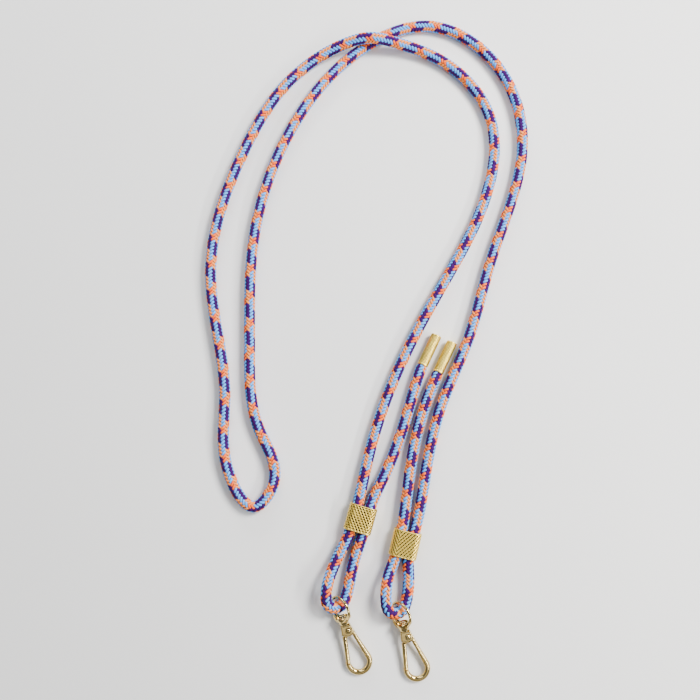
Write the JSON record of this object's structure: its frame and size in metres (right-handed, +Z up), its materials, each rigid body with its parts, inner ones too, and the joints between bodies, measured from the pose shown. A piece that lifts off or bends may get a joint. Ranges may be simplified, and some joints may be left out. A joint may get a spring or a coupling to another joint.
{
  "type": "phone crossbody strap",
  "caption": "Adjustable round braided cord worn across the body, with swivel snap hooks, cord sliders and metal end caps, lying in a loop.",
  "frame": {"origin": "on the surface the strap lies on, below the middle of the box round its metal fittings", "axes": "+Z up from the surface, +Y from the snap hooks toward the far end of the cord's loop, +X to the right seen from above with the hooks nearest"},
  "size_m": [0.2028, 0.4114, 0.0143],
  "materials": {
    "cord": "round braid of orange, light blue and purple polyester yarn, matt with a slight sheen",
    "end_cap": "pale gold plating, finely knurled",
    "slider": "pale gold plating, diamond knurl, plain end rims",
    "swivel_eye": "polished gold plating",
    "hook_frame": "polished gold plating",
    "hook_gate": "polished gold plating",
    "gate_rivet": "polished gold plating"
  },
  "bodies": {
    "strap": {"cord": "cord", "end_cap_left": "end_cap", "end_cap_right": "end_cap", "slider_left": "slider", "slider_right": "slider", "swivel_eye_left": "swivel_eye", "swivel_eye_right": "swivel_eye"},
    "hook_left": {"hook_frame_left": "hook_frame", "gate_rivet_left": "gate_rivet"},
    "gate_left": {"hook_gate_left": "hook_gate"},
    "hook_right": {"hook_frame_right": "hook_frame", "gate_rivet_right": "gate_rivet"},
    "gate_right": {"hook_gate_right": "hook_gate"}
  },
  "joints": [
    {"name": "swivel_left", "type": "hinge", "parent": "strap", "child": "hook_left", "pos_m": [-0.0329, -0.0609, 0.00637], "axis": [0.2853, -0.9511, -0.1185], "continuous": true},
    {"name": "gate_hinge_left", "type": "hinge", "parent": "hook_left", "child": "gate_left", "pos_m": [-0.02818, -0.07317, 0.00481], "axis": [0.0341, -0.1135, 0.993], "range_deg": [0, 24], "stiffness_Nm_per_rad": 0.01, "springref_deg": -22.92},
    {"name": "swivel_right", "type": "hinge", "parent": "strap", "child": "hook_right", "pos_m": [0.0029, -0.0642, 0.00637], "axis": [0.2352, -0.9647, -0.1185], "continuous": true},
    {"name": "gate_hinge_right", "type": "hinge", "parent": "hook_right", "child": "gate_right", "pos_m": [0.00698, -0.0767, 0.00481], "axis": [0.0281, -0.1151, 0.993], "range_deg": [0, 24], "stiffness_Nm_per_rad": 0.01, "springref_deg": -22.92}
  ]
}
